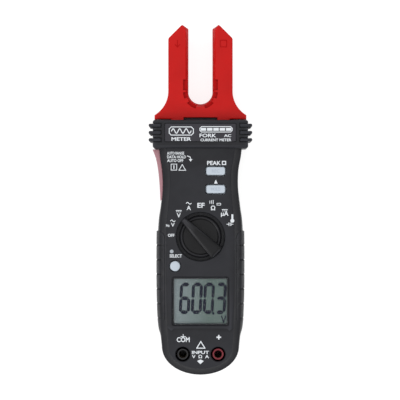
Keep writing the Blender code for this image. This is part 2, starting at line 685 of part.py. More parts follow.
def make_power():
    profile = (
        (0, CELL_LENGTH + 0.0010), (0.0019, CELL_LENGTH + 0.0010), (0.0019, CELL_LENGTH),
        (CELL_RADIUS - 0.0006, CELL_LENGTH), (CELL_RADIUS, CELL_LENGTH - 0.0006),
        (CELL_RADIUS, 0.0006), (CELL_RADIUS - 0.0006, 0), (0, 0),
    )
    first_y = -0.0578
    second_y = first_y + CELL_LENGTH - 0.0049
    first = finish(turned("battery_1", profile, (-CELL_X, first_y, CELL_Z)), "cell_jacket")
    first.rotation_euler = (math.radians(-90), 0, 0)
    second = finish(turned("battery_2", profile, (CELL_X, second_y, CELL_Z)), "cell_jacket")
    second.rotation_euler = (math.radians(90), 0, 0)
    link_y = (-0.0644, -0.0640)
    plate_y = (-0.0130, -0.0126)
    spring_between("battery_spring_1", -CELL_X, link_y[1] + GAP, first_y - GAP)
    spring_between("battery_spring_2", CELL_X, second_y + GAP, plate_y[0] - GAP)
    finish(box("battery_link", (-0.0100, 0.0100), link_y, (0.0040, 0.0120)), "steel")
    finish(box("battery_plate_positive", (-0.0095, -0.0020), plate_y, (0.0040, 0.0120)), "steel")
    finish(box("battery_plate_negative", (0.0020, 0.0095), plate_y, (0.0040, 0.0120)), "steel")

    door = box("battery_door", (-DOOR_HALF, DOOR_HALF), DOOR_Y, DOOR_Z)
    cut(door, cylinder("door_head_room", (0, DOOR_SCREW_Y), 0.0029, (-0.0010, 0.0014), 24))
    cut(door, cylinder("door_shank_room", (0, DOOR_SCREW_Y), 0.0015, (-0.0010, 0.0100), 20))
    finish(door, "case_black")
    foam = box("door_foam", (-0.0018, 0.0018), (-0.0500, -0.0250), (DOOR_Z[1] + GAP, 0.0036))
    finish(foam, "rubber_grey")
    screw = (
        (0, 0.0095), (0.0012, 0.0095), (0.0012, 0.0011), (0.0026, 0.0011), (0.0026, 0.0004), (0, 0.0004),
    )
    finish(turned("door_screw", screw, (0, DOOR_SCREW_Y, 0), 20), "steel")


def make_case_screws():
    profile = (
        (0, 0.0190), (0.0012, 0.0190), (0.0012, 0.0030), (0.0022, 0.0030), (0.0022, 0.0012), (0, 0.0012),
    )
    number = 1
    for place in (LOWER_SCREW, UPPER_SCREW):
        for side in (-1, 1):
            screw = turned(f"case_screw_{number}", profile, (side * place[0], place[1], 0), 14)
            finish(screw, "steel")
            number += 1


make_case()
make_fork()
make_keys()
make_selector()
make_display()
make_sockets()
make_board()
make_power()
make_case_screws()
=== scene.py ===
"""The looks of the fork-type clamp meter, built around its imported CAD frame.

Metres.  The meter lies on its back at Z = 0, fork towards +Y, face up.
"""

import json
import math

import bmesh
import bpy
import numpy
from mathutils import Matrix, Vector


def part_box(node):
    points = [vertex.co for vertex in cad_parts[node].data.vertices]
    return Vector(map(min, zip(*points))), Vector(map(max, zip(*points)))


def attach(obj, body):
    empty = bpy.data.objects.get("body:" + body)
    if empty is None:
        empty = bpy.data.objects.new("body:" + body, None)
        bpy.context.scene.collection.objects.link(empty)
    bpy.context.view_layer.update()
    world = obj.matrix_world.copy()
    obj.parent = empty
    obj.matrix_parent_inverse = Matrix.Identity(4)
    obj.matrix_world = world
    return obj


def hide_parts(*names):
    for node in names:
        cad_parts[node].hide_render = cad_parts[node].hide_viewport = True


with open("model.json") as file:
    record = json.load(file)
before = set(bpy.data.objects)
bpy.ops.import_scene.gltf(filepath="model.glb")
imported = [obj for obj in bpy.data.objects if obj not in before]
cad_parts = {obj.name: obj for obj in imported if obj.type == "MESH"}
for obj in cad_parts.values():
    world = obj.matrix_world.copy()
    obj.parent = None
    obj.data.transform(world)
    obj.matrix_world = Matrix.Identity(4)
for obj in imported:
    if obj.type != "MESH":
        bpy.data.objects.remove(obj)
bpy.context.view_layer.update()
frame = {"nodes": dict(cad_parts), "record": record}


# --- places read from the frame -------------------------------------------------------
def middle(node):
    low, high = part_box(node)
    return (low + high) / 2


FRONT_LOW, FRONT_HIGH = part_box("front_case")
REAR_LOW, REAR_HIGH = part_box("rear_case")
FORK_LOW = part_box("fork_rear_shell")[0]
FORK_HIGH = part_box("fork_front_shell")[1]
KNOB = middle("selector_rotor")
GAP = FRONT_LOW.z - REAR_HIGH.z

MM = 0.001


def mm(*values):
    return tuple(value * MM for value in values)


FACE_Z = 26.0 * MM                # flat front panel
EDGE_Z = 21.0 * MM                # where the side turns into the front slope
GUARD_Z = 27.3 * MM
GUARD_Y = mm(27.75, 43.1)
GUARD_HALF = 25.75 * MM
RIB_YS = mm(40.1, 36.2, 32.3)
WALL = 2.0 * MM
RECESS_RADIUS = 13.1 * MM
RECESS_FLOOR = 23.5 * MM
POD_Z = 25.35 * MM                # the lowered field around the sockets

# (Y, half-width of the front)
CASE_SIDE = (
    (0.0310, 0.0228), (0.0240, 0.0221), (0.0160, 0.0207), (0.0070, 0.0205), (-0.0040, 0.0214),
    (-0.0150, 0.0223), (-0.0460, 0.0224), (-0.0660, 0.0218), (-0.0800, 0.0209),
)

# (Y, how far the side stands out beyond the front)
SIDE_SWELL = (
    (-0.0800, 0.0002), (-0.0740, 0.0004), (-0.0700, 0.0013), (-0.0650, 0.0016),
    (-0.0172, 0.0016), (-0.0166, 0.0008), (0.0070, 0.0),
)


# --- mesh helpers ---------------------------------------------------------------------
def add_mesh(name, shape, smooth=35.0):
    """A bmesh becomes an object, smooth where its faces meet gently."""
    bmesh.ops.recalc_face_normals(shape, faces=shape.faces)
    mesh = bpy.data.meshes.new(name)
    shape.to_mesh(mesh)
    shape.free()
    piece = bpy.data.objects.new(name, mesh)
    bpy.context.scene.collection.objects.link(piece)
    shade(piece, smooth)
    return piece


def shade(piece, smooth=35.0):
    piece.data.shade_smooth()
    piece.data.set_sharp_from_angle(angle=math.radians(smooth))


def bake(piece, smooth=35.0):
    """Apply every modifier."""
    graph = bpy.context.evaluated_depsgraph_get()
    mesh = bpy.data.meshes.new_from_object(piece.evaluated_get(graph))
    piece.modifiers.clear()
    piece.data = mesh
    shade(piece, smooth)
    return piece


def bevel(piece, width, segments=3, angle=40.0):
    rounding = piece.modifiers.new("rounding", "BEVEL")
    rounding.width = width
    rounding.segments = segments
    rounding.limit_method = "ANGLE"
    rounding.angle_limit = math.radians(angle)
    return bake(piece)


def combine(target, tools, operation):
    """Boolean each tool into the target, then remove the tools."""
    for tool in tools:
        step = target.modifiers.new(tool.name, "BOOLEAN")
        step.operation = operation
        step.object = tool
    bake(target)
    for tool in tools:
        bpy.data.objects.remove(tool, do_unlink=True)
    return target


def cut(target, *tools):
    return combine(target, tools, "DIFFERENCE")


def join(target, *tools):
    return combine(target, tools, "UNION")


def block(name, x, y, z):
    shape = bmesh.new()
    bmesh.ops.create_cube(shape, size=1.0)
    for corner in shape.verts:
        for axis, pair in enumerate((x, y, z)):
            corner.co[axis] = (pair[0] + pair[1]) / 2 + corner.co[axis] * (pair[1] - pair[0])
    return add_mesh(name, shape)


def loft(name, rings, smooth=35.0):
    shape = bmesh.new()
    loops = [[shape.verts.new(point) for point in ring] for ring in rings]
    count = len(loops[0])
    for lower, upper in zip(loops, loops[1:]):
        for i in range(count):
            j = (i + 1) % count
            shape.faces.new((lower[i], lower[j], upper[j], upper[i]))
    shape.faces.new(loops[0])
    shape.faces.new(loops[-1])
    return add_mesh(name, shape, smooth)


def offset(outline, distance):
    """Move a counter-clockwise outline inward, by one distance or by one for each corner."""
    points = numpy.array(outline, dtype=float)
    before = points - numpy.roll(points, 1, axis=0)
    after = numpy.roll(points, -1, axis=0) - points
    normals = []
    for edge in (before, after):
        edge /= numpy.linalg.norm(edge, axis=1)[:, None]
        normals.append(numpy.stack((-edge[:, 1], edge[:, 0]), axis=1))
    mitre = normals[0] + normals[1]
    mitre /= 1 + numpy.sum(normals[0] * normals[1], axis=1)[:, None]
    distances = numpy.broadcast_to(numpy.asarray(distance, dtype=float), len(points))
    return [tuple(point) for point in points + mitre * distances[:, None]]


def prism(name, outline, levels, smooth=35.0):
    """A plate of one outline; levels lists (z, inset) from bottom to top."""
    rings = [[(x, y, z) for x, y in offset(outline, inset)] for z, inset in levels]
    return loft(name, rings, smooth)


def rounded_levels(low, high, radius, steps=3, bottom=True):
    """(z, inset) levels with rounded rims."""
    top = []
    for step in range(steps + 1):
        angle = math.radians(90) * step / steps
        top.append((high - radius + radius * math.sin(angle), radius - radius * math.cos(angle)))
    if not bottom:
        return [(low, 0.0)] + top
    base = [(low + high - z, inset) for z, inset in reversed(top)]
    return base + top


def turned(name, profile, place, segments=64, smooth=35.0):
    """(radius, z) points turned about the vertical through place."""
    shape = bmesh.new()
    rings = []
    for radius, z in profile:
        if radius < 1e-7:
            rings.append([shape.verts.new((place[0], place[1], z))])
            continue
        ring = []
        for i in range(segments):
            angle = 2 * math.pi * i / segments
            x = place[0] + radius * math.cos(angle)
            ring.append(shape.verts.new((x, place[1] + radius * math.sin(angle), z)))
        rings.append(ring)
    closed = profile[0][0] > 1e-7
    pairs = list(zip(rings, rings[1:]))
    if closed:
        pairs.append((rings[-1], rings[0]))
    for first, second in pairs:
        for i in range(segments):
            j = (i + 1) % segments
            if len(first) == 1:
                shape.faces.new((first[0], second[i], second[j]))
            elif len(second) == 1:
                shape.faces.new((first[i], first[j], second[0]))
            else:
                shape.faces.new((first[i], first[j], second[j], second[i]))
    return add_mesh(name, shape, smooth)


def rounded_rectangle(centre, size, radius, steps=8):
    outline = []
    for corner in range(4):
        sign_x = 1 if corner in (0, 3) else -1
        sign_y = 1 if corner in (0, 1) else -1
        for step in range(steps + 1):
            angle = math.radians(90 * corner + 90 * step / steps)
            x = sign_x * (size[0] / 2 - radius) + radius * math.cos(angle)
            y = sign_y * (size[1] / 2 - radius) + radius * math.sin(angle)
            outline.append((centre[0] + x, centre[1] + y))
    return outline


# --- materials ------------------------------------------------------------------------
def new_material(name):
    material = bpy.data.materials.new(name)
    material.use_nodes = True
    tree = material.node_tree
    return material, tree, tree.nodes["Principled BSDF"]


def noise(tree, scale, detail=4.0):
    """Noise over the piece's own coordinates; scale is in cells a metre."""
    place = tree.nodes.new("ShaderNodeTexCoord")
    texture = tree.nodes.new("ShaderNodeTexNoise")
    texture.inputs["Scale"].default_value = scale
    texture.inputs["Detail"].default_value = detail
    tree.links.new(place.outputs["Object"], texture.inputs["Vector"])
    return texture.outputs["Fac"]


def ramp(tree, source, low, high, start=0.3, end=0.7):
    """Colour between low and high as source goes from start to end."""
    node = tree.nodes.new("ShaderNodeValToRGB")
    node.color_ramp.elements[0].position = start
    node.color_ramp.elements[0].color = (*low, 1.0)
    node.color_ramp.elements[1].position = end
    node.color_ramp.elements[1].color = (*high, 1.0)
    tree.links.new(source, node.inputs["Fac"])
    return node.outputs["Color"]


def spread(tree, source, low, high):
    node = tree.nodes.new("ShaderNodeMapRange")
    node.inputs["From Min"].default_value = 0.3
    node.inputs["From Max"].default_value = 0.7
    node.inputs["To Min"].default_value = low
    node.inputs["To Max"].default_value = high
    tree.links.new(source, node.inputs["Value"])
    return node.outputs["Result"]


def shaded(colour, factor):
    return tuple(min(1.0, channel * factor) for channel in colour)


def moulded(name, colour, roughness, grain=0.00035, bump=0.25, vary=0.15, wear_and_highlight=1.6, specular=0.5):
    """Moulded plastic: fine spark texture, uneven gloss, and convex edges lightened partly as edge wear,
    partly as a painted highlight.
    """
    material, tree, shader = new_material(name)
    shader.inputs["Specular IOR Level"].default_value = specular
    blotch = noise(tree, 90.0)
    base = ramp(tree, blotch, shaded(colour, 1 - vary), shaded(colour, 1 + vary))
    # High Pointiness (convex edges) mixes towards a lighter colour: partly edge wear, partly a painted
    # highlight.
    geometry = tree.nodes.new("ShaderNodeNewGeometry")
    edge = tree.nodes.new("ShaderNodeMapRange")
    edge.inputs["From Min"].default_value = 0.52
    edge.inputs["From Max"].default_value = 0.60
    tree.links.new(geometry.outputs["Pointiness"], edge.inputs["Value"])
    wear_and_highlight_mix = tree.nodes.new("ShaderNodeMix")
    wear_and_highlight_mix.data_type = "RGBA"
    tree.links.new(edge.outputs["Result"], wear_and_highlight_mix.inputs["Factor"])
    tree.links.new(base, wear_and_highlight_mix.inputs["A"])
    wear_and_highlight_mix.inputs["B"].default_value = (*shaded(colour, wear_and_highlight), 1.0)
    tree.links.new(wear_and_highlight_mix.outputs["Result"], shader.inputs["Base Color"])
    gloss = spread(tree, noise(tree, 240.0), roughness - 0.05, roughness + 0.06)
    tree.links.new(gloss, shader.inputs["Roughness"])
    relief = tree.nodes.new("ShaderNodeBump")
    relief.inputs["Strength"].default_value = bump
    relief.inputs["Distance"].default_value = grain / 4
    tree.links.new(noise(tree, 1 / grain, 2.0), relief.inputs["Height"])
    tree.links.new(relief.outputs["Normal"], shader.inputs["Normal"])
    return material


def metal(name, colour, roughness, scratch=1800.0):
    material, tree, shader = new_material(name)
    shader.inputs["Metallic"].default_value = 1.0
    tint = ramp(tree, noise(tree, 300.0), shaded(colour, 0.8), shaded(colour, 1.1))
    tree.links.new(tint, shader.inputs["Base Color"])
    gloss = spread(tree, noise(tree, scratch), roughness - 0.08, roughness + 0.12)
    tree.links.new(gloss, shader.inputs["Roughness"])
    relief = tree.nodes.new("ShaderNodeBump")
    relief.inputs["Strength"].default_value = 0.15
    relief.inputs["Distance"].default_value = 0.00003
    tree.links.new(noise(tree, scratch * 2), relief.inputs["Height"])
    tree.links.new(relief.outputs["Normal"], shader.inputs["Normal"])
    return material


def cell_face(name):
    """Grey-green liquid-crystal glass with a painted glare: lighter and bluer towards the left."""
    material, tree, shader = new_material(name)
    place = tree.nodes.new("ShaderNodeTexCoord")
    split = tree.nodes.new("ShaderNodeSeparateXYZ")
    tree.links.new(place.outputs["Object"], split.inputs["Vector"])
    glare_across = tree.nodes.new("ShaderNodeMapRange")
    glare_across.inputs["From Min"].default_value = -0.015
    glare_across.inputs["From Max"].default_value = 0.004
    tree.links.new(split.outputs["X"], glare_across.inputs["Value"])
    node = tree.nodes.new("ShaderNodeMix")
    node.data_type = "RGBA"
    tree.links.new(glare_across.outputs["Result"], node.inputs["Factor"])
    # Painted glare: the left end's colour is lighter and bluer than the grey-green to the right.
    node.inputs["A"].default_value = (0.165, 0.205, 0.215, 1.0)
    fine = ramp(tree, noise(tree, 2600.0), (0.058, 0.098, 0.085), (0.072, 0.112, 0.100))
    tree.links.new(fine, node.inputs["B"])
    tree.links.new(node.outputs["Result"], shader.inputs["Base Color"])
    shader.inputs["Roughness"].default_value = 0.22
    return material


def clear(name):
    material, tree, shader = new_material(name)
    tint = ramp(tree, noise(tree, 120.0), (0.10, 0.12, 0.13), (0.13, 0.15, 0.16))
    tree.links.new(tint, shader.inputs["Base Color"])
    shader.inputs["Alpha"].default_value = 0.05
    shader.inputs["Roughness"].default_value = 0.06
    return material


# Edge factors above 1 lighten convex edges: partly wear, partly a painted highlight.
CASE = moulded("case_plastic", (0.0100, 0.0104, 0.0132), 0.50, specular=0.22, wear_and_highlight=2.6)
# The knob's edges are lightened six times over: a painted highlight on its rims and bar.
KNOB_BLACK = moulded("knob_plastic", (0.006, 0.006, 0.007), 0.34, grain=0.0003, bump=0.15, specular=0.16,
                     wear_and_highlight=6.0)
RED = moulded("fork_plastic", (0.44, 0.0055, 0.0045), 0.42, grain=0.0004, bump=0.12, vary=0.05, wear_and_highlight=1.2,
              specular=0.12)
# Darker red: painted shade on the floors of the fork's notches, and the faint marks near the tips.
NOTCH_SHADE_AND_MARK_RED = moulded("fork_notch_shade_red", (0.34, 0.003, 0.003), 0.5, bump=0.1, vary=0.05, wear_and_highlight=1.0,
                  specular=0.05)
PLATE = moulded("plate_plastic", (0.022, 0.021, 0.027), 0.42, grain=0.0002, bump=0.08, specular=0.25)
KEY = moulded("key_rubber", (0.42, 0.475, 0.535), 0.55, grain=0.0003, bump=0.15, vary=0.03, wear_and_highlight=1.05)
KEY_PRINT = moulded("key_print", (0.34, 0.39, 0.46), 0.55, grain=0.0003, bump=0.1, vary=0.05, wear_and_highlight=1.0)
PRINT = moulded("white_print", (0.62, 0.65, 0.68), 0.5, grain=0.0002, bump=0.1, vary=0.06, wear_and_highlight=1.0)
GREY_PRINT = moulded("grey_print", (0.30, 0.33, 0.36), 0.5, grain=0.0002, bump=0.1, vary=0.06, wear_and_highlight=1.0)
INK = moulded("segment_ink", (0.003, 0.004, 0.014), 0.35, grain=0.0002, bump=0.05, wear_and_highlight=1.0, specular=0.1)
SOCKET_BLACK = moulded("socket_black_plastic", (0.008, 0.008, 0.009), 0.35, bump=0.1, specular=0.25)
SOCKET_RED = moulded("socket_red_plastic", (0.15, 0.020, 0.028), 0.38, bump=0.1, wear_and_highlight=1.0, specular=0.2)
# Pale pink: red plastic painted as washed out by a grazing sheen.
SIDE_RED_PAINTED_SHEEN = moulded("side_red_painted_sheen", (0.34, 0.160, 0.185), 0.40, vary=0.06, wear_and_highlight=1.1)
# Brass darkened far below its own colour: painted shade down in the socket bores.
BRASS_PAINTED_SHADE = metal("socket_brass_painted_shade", (0.10, 0.08, 0.05), 0.50)
STEEL = metal("screw_steel", (0.50, 0.51, 0.53), 0.35)
BOARD = moulded("board_mask", (0.02, 0.13, 0.05), 0.45, grain=0.0008, bump=0.1)
COPPER = metal("winding_copper", (0.60, 0.26, 0.12), 0.35, 3500.0)
CORE = metal("core_iron", (0.22, 0.22, 0.24), 0.5, 2500.0)
CHIP = moulded("chip_epoxy", (0.02, 0.02, 0.02), 0.5, grain=0.0002)
RUBBER = moulded("grey_rubber", (0.25, 0.26, 0.28), 0.8, bump=0.3)
LACQUER = moulded("disc_lacquer", (0.05, 0.12, 0.40), 0.35, bump=0.1)
JACKET = metal("cell_jacket_film", (0.45, 0.46, 0.48), 0.4, 900.0)
WHITE = moulded("white_nylon", (0.70, 0.70, 0.68), 0.5, vary=0.05, wear_and_highlight=1.05)
CELL = cell_face("lcd_cell_face")
LENS = clear("lens_acrylic")

SLOT_LOOKS = {
    "case_black": CASE, "fork_red": RED, "plate_grey": PLATE, "clear_lens": LENS, "lcd_green": CELL,
    "key_pale": KEY, "socket_black": SOCKET_BLACK, "socket_red": SOCKET_RED, "brass": BRASS_PAINTED_SHADE,
    "steel": STEEL, "board_green": BOARD, "copper": COPPER, "core_grey": CORE, "part_black": CHIP,
    "rubber_grey": RUBBER, "disc_blue": LACQUER, "cell_jacket": JACKET, "frame_white": WHITE,
}


def dress_frame():
    """Every CAD node gets the finished material of its slot."""
    for entry in frame["record"]["subparts"]:
        node = frame["nodes"][entry["node"]]
        node.data.materials.clear()
        node.data.materials.append(SLOT_LOOKS[entry["material_slot"]])


def place(piece, body, slot, look, *nodes):
    """Give a new piece its material and body, and hide the nodes it stands for; slot is not used."""
    piece.data.materials.clear()
    piece.data.materials.append(look)
    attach(piece, body)
    if nodes:
        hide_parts(*nodes)
    return piece


# --- case -----------------------------------------------------------------------------
def smooth_side(steps=10):
    """(Y, half-width) along a Catmull-Rom curve through CASE_SIDE, from the shoulder down."""
    knots = [numpy.array(knot) for knot in CASE_SIDE]
    knots = [2 * knots[0] - knots[1]] + knots + [2 * knots[-1] - knots[-2]]
    points = []
    for a, b, c, d in zip(knots, knots[1:], knots[2:], knots[3:]):
        for step in range(steps):
            t = step / steps
            curve = 2 * b + (c - a) * t + (2 * a - 5 * b + 4 * c - d) * t ** 2
            points.append(tuple((curve + (3 * b - a - 3 * c + d) * t ** 3) / 2))
    points.append(CASE_SIDE[-1])
    heights = [y for y, half in reversed(points)]
    halves = [half for y, half in reversed(points)]
    step_ys = [y for y, _ in SIDE_SWELL[4:6]]
    for y in step_ys:
        points.append((y, float(numpy.interp(y, heights, halves))))
    return sorted(points, reverse=True)


SIDE = smooth_side()


def front_half(y):
    """Half-width of the front at y."""
    points = list(reversed(SIDE))
    return float(numpy.interp(y, [point[0] for point in points], [point[1] for point in points]))


def swell_at(y):
    return float(numpy.interp(y, [knot[0] for knot in SIDE_SWELL], [knot[1] for knot in SIDE_SWELL]))


def case_ring(z, inset, swell):
    """The case's outline at height z, counter-clockwise from the lower end."""
    side = [(half + swell * swell_at(y) - inset, y) for y, half in SIDE]
    end_half, end_y = side[-1]
    depth = end_y - REAR_LOW.y - inset
    steps = 28
    end = []
    for step in range(1, steps):
        angle = math.radians(90) * step / steps
        end.append((end_half * math.cos(angle), end_y - depth * math.sin(angle)))
    half = [(0.0, end_y - depth)] + list(reversed(side + end))
    left = [(-x, y) for x, y in reversed(half[1:])]
    return [(x, y, z) for x, y in half + left]


# (z, inset, share of the swell) up the front case's outside
FRONT_RINGS = (
    (FRONT_LOW.z, 0.25 * MM, 1.0), (FRONT_LOW.z + 0.25 * MM, 0.0, 1.0),
    (17.0 * MM, 0.1 * MM, 0.95), (19.6 * MM, 0.15 * MM, 0.45), (20.7 * MM, 0.1 * MM, 0.05),
    (21.15 * MM, 0.35 * MM, 0.0), (21.4 * MM, 0.8 * MM, 0.0), (25.3 * MM, 3.75 * MM, 0.0),
    (25.75 * MM, 4.05 * MM, 0.0), (FACE_Z, 4.5 * MM, 0.0),
)


def front_height(x, y):
    """Height of the front's slope or panel at a place."""
    insets = [ring[1] for ring in FRONT_RINGS[5:]]
    heights = [ring[0] for ring in FRONT_RINGS[5:]]
    return float(numpy.interp(front_half(y) - abs(x), insets, heights))


def make_guard(name):
    """The hand guard: a band with three rounded ribs, each in its own groove, on both sides."""
    guard = bevel(block(name, (-GUARD_HALF, GUARD_HALF), GUARD_Y, (0.0, GUARD_Z)), 1.3 * MM, 4)
    grooves = []
    ribs = []
    for side in (-1, 1):
        for y in RIB_YS:
            for x, half, z in ((mm(20.9, 29.0), 1.4, mm(26.3, 30.0)), (mm(25.0, 28.5), 1.3, mm(-1.0, 29.0))):
                span = sorted((side * x[0], side * x[1]))
                grooves.append(block("rib_groove", span, (y - half * MM, y + half * MM), z))
            span = sorted((side * 21.3 * MM, side * FRONT_HIGH.x))
            rib = block("rib", span, (y - 0.87 * MM, y + 0.87 * MM), (0.4 * MM, FRONT_HIGH.z))
            ribs.append(bevel(rib, 0.7 * MM))
    cut(guard, *grooves)
    return join(guard, *ribs)


def grip_grooves():
    """Short grooves across the edge of the grip, on both sides."""
    corners = ((27, 4), (23.2, 4), (23.2, 19.0), (21.2, 20.6), (21.2, 30), (27, 30))
    profile = [mm(*point) for point in corners]
    tools = []
    for number in range(6):
        y = -24.7 * MM - number * 7.93 * MM
        for side in (-1, 1):
            rings = [[(side * x, y + shift, z) for x, z in profile] for shift in mm(-0.45, 0.45)]
            tools.append(loft("groove", rings))
    return tools


def groove_line(points, radius):
    """A round cutter along the front's surface."""
    curve = bpy.data.curves.new("line", "CURVE")
    curve.dimensions = "3D"
    curve.bevel_depth = radius
    curve.bevel_resolution = 1
    curve.use_fill_caps = True
    spline = curve.splines.new("POLY")
    spline.points.add(len(points) - 1)
    for point, (x, y) in zip(spline.points, points):
        point.co = (x, y, front_height(x, y) + radius * 0.2, 1.0)
    holder = bpy.data.objects.new("line", curve)
    bpy.context.scene.collection.objects.link(holder)
    mesh = bpy.data.meshes.new_from_object(holder.evaluated_get(bpy.context.evaluated_depsgraph_get()))
    bpy.data.objects.remove(holder, do_unlink=True)
    shape = bmesh.new()
    shape.from_mesh(mesh)
    bmesh.ops.remove_doubles(shape, verts=shape.verts, dist=0.01 * MM)
    return add_mesh("line_tool", shape)


def grip_lines():
    """The seam of each grip pad: in from the edge, then down beside the panel."""
    corners = ((22.0, -17.2), (21.0, -17.6), (20.1, -18.4), (19.5, -19.6), (19.3, -21.2))
    path = [mm(*point) for point in corners]
    path += [(19.3 * MM, -21.2 * MM - step * 4.0 * MM) for step in range(1, 12)]
    lines = []
    for side in (-1, 1):
        lines.append(groove_line([(side * x, y) for x, y in path], 0.32 * MM))
        ledge = [(side * x * MM, -24.7 * MM) for x in (18.2, 19.2, 20.4, 21.4)]
        lines.append(groove_line(ledge, 0.2 * MM))
    return lines


def flared_hole(name, place_xy, radius, flare=0.35 * MM, low=20 * MM):
    profile = (
        (0, 30 * MM), (radius + flare, 30 * MM), (radius + flare, FACE_Z + 0.03 * MM),
        (radius, FACE_Z - flare), (radius, low), (0, low),
    )
    return turned(name, profile, place_xy, 72)


def flared_outline(name, outline, flare, low):
    levels = ((low, 0.0), (FACE_Z - flare, 0.0), (FACE_Z + 0.05 * MM, -flare), (30 * MM, -flare))
    return prism(name, outline, levels)


def node_outline(node, grow, radius):
    low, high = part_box(node)
    size = (high.x - low.x + 2 * grow, high.y - low.y + 2 * grow)
    return rounded_rectangle(((low.x + high.x) / 2, (low.y + high.y) / 2), size, radius)


def key_outline(node, grow=0.0):
    centre = middle(node)
    flange = 0.6 * MM
    low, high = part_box(node)
    size = (high.x - low.x - 2 * flange + 2 * grow, high.y - low.y - 2 * flange + 2 * grow)
    return rounded_rectangle((centre.x, centre.y), size, 1.2 * MM + grow)


def hollow_tools():
    upper = block("upper", mm(-23.5, 23.5), mm(29, 41.3), mm(2, 25))
    neck = block("neck", mm(-16.2, 16.2), mm(38, 46), (FORK_LOW.z - GAP, FORK_HIGH.z + GAP))
    return [upper, neck]


def insert_outline(grow=0.0):
    outer = ((27.3, 26.0), (25.0, 25.1), (22.5, 24.2), (19.4, 23.5), (16.2, 23.0), (12.8, 22.6),
             (9.4, 22.3), (4.5, 22.0), (-0.4, 21.8))
    inner = ((-0.4, 20.3), (9.4, 20.2), (16.2, 20.7), (22.5, 21.6), (27.3, 22.0))
    outline = [(-half * MM, y * MM) for y, half in outer + inner]
    return offset(outline, -grow)


def insert_pocket():
    return prism("insert_pocket", insert_outline(0.25 * MM), ((6.7 * MM, 0.0), (20.3 * MM, 0.0)))


def pod_outline():
    """The lowered field around the sockets; its upper line has cut corners."""
    right = ((0.0, -69.5), (14.2, -69.5), (15.7, -70.7), (17.9, -68.9), (20.6, -67.9), (27.0, -67.4),
             (27.0, -99.0))
    half = [mm(*point) for point in right]
    left = [(-x, y) for x, y in reversed(half[1:])]
    return list(reversed(half + left))


def panel_holes():
    """Cutters for the recess, keys, window and sockets."""
    holes = [flared_hole("select", middle("select_key"), 3.0 * MM)]
    for node in ("rec_key", "hold_key"):
        holes.append(flared_outline("key_hole", key_outline(node, 0.55 * MM), 0.2 * MM, 20 * MM))
    window = node_outline("display_lens", 0.3 * MM, 1.2 * MM)
    holes.append(flared_outline("window", window, 0.45 * MM, 24.8 * MM))
    low_window = node_outline("display_lens", -0.65 * MM, 0.8 * MM)
    holes.append(prism("window_low", low_window, ((20 * MM, 0), (30 * MM, 0))))
    bore = ((0, 30), (4.3, 30), (4.3, 25.4), (3.95, 25.0), (3.95, 20), (0, 20))
    for node in ("com_socket", "volt_socket"):
        profile = [mm(*point) for point in bore]
        holes.append(turned("socket_hole", profile, middle(node), 72))
    holes.append(flared_hole("recess", (KNOB.x, KNOB.y), RECESS_RADIUS, 0.4 * MM, RECESS_FLOOR))
    shaft = [mm(*point) for point in ((0, 25), (3.6, 25), (3.6, 20), (0, 20))]
    holes.append(turned("shaft", shaft, (KNOB.x, KNOB.y)))
    return holes


def make_front():
    shell = loft("front_shell", [case_ring(*ring) for ring in FRONT_RINGS], 28)
    join(shell, make_guard("front_guard"))
    hollow = (
        (10 * MM, WALL, 1.0), (18 * MM, 2.3 * MM, 0.8), (EDGE_Z, 3.1 * MM, 0.0), (23.8 * MM, 5.4 * MM, 0.0),
    )
    cut(shell, block("below", (-0.05, 0.05), (-0.12, 0.12), (-0.01, FRONT_LOW.z)))
    cut(shell, loft("hollow", [case_ring(*ring) for ring in hollow]), *hollow_tools())
    join(shell, block("tab_root", mm(-8.9, 8.9), mm(41.5, 44.5), mm(15.2, 17.0)))
    seat = [mm(*point) for point in ((0, 25), (15.1, 25), (15.1, 21.5), (0, 21.5))]
    join(shell, turned("seat", seat, (KNOB.x, KNOB.y)))
    pod = prism("pod", pod_outline(), ((POD_Z, 0.0), (30 * MM, 0.0)))
    plate = prism("plate_pocket", node_outline("name_plate", 0.3 * MM, 0.8 * MM),
                  ((26.7 * MM, 0.0), (30 * MM, 0.0)))
    cut(shell, pod, plate)
    cut(shell, *grip_grooves())
    cut(shell, *grip_lines())
    cut(shell, insert_pocket(), *panel_holes())
    pip = [mm(*point) for point in ((0, 26.2), (0.3, 26.15), (0.45, 26.02), (0, 26.02))]
    place(turned("panel_pip", pip, mm(0.9, 10.7), 20), "housing", "case_black", CASE)
    place(shell, "housing", "case_black", CASE, "front_case")


def make_rear():
    rings = (
        (0.0, 3.2 * MM, 1.0), (0.35 * MM, 2.1 * MM, 1.0), (1.2 * MM, 1.1 * MM, 1.0),
        (2.3 * MM, 0.4 * MM, 1.0), (3.6 * MM, 0.0, 1.0),
        (REAR_HIGH.z - 0.25 * MM, 0.0, 1.0), (REAR_HIGH.z, 0.25 * MM, 1.0),
    )
    shell = loft("rear_shell", [case_ring(*ring) for ring in rings], 28)
    join(shell, make_guard("rear_guard"))
    cut(shell, block("above", (-0.05, 0.05), (-0.12, 0.12), (REAR_HIGH.z, 0.05)))
    hollow = ((2.2 * MM, 4.0 * MM, 1.0), (4.0 * MM, 2.4 * MM, 1.0), (17 * MM, WALL, 1.0))
    cut(shell, loft("hollow", [case_ring(*ring) for ring in hollow]), *hollow_tools())
    join(shell, block("bay_block", mm(-14.4, 14.4), mm(-74.1, -10.3), mm(1, 14.7)))
    low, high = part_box("battery_door")
    door = block("door_room", (low.x - GAP, high.x + GAP), (low.y - GAP, high.y + GAP), (-0.01, 2.3 * MM))
    bay = block("bay", mm(-12.2, 12.2), mm(-64.7, -12.3), mm(-10, 13.5))
    cut(shell, door, bay, insert_pocket())
    cut(shell, *grip_grooves())
    rooms = []
    for number in range(1, 5):
        profile = [mm(*point) for point in ((0, 3.3), (2.45, 3.3), (2.45, -1), (0, -1))]
        rooms.append(turned("screw_room", profile, middle(f"case_screw_{number}"), 40))
    cut(shell, *rooms)
    place(shell, "housing", "case_black", CASE, "rear_case")


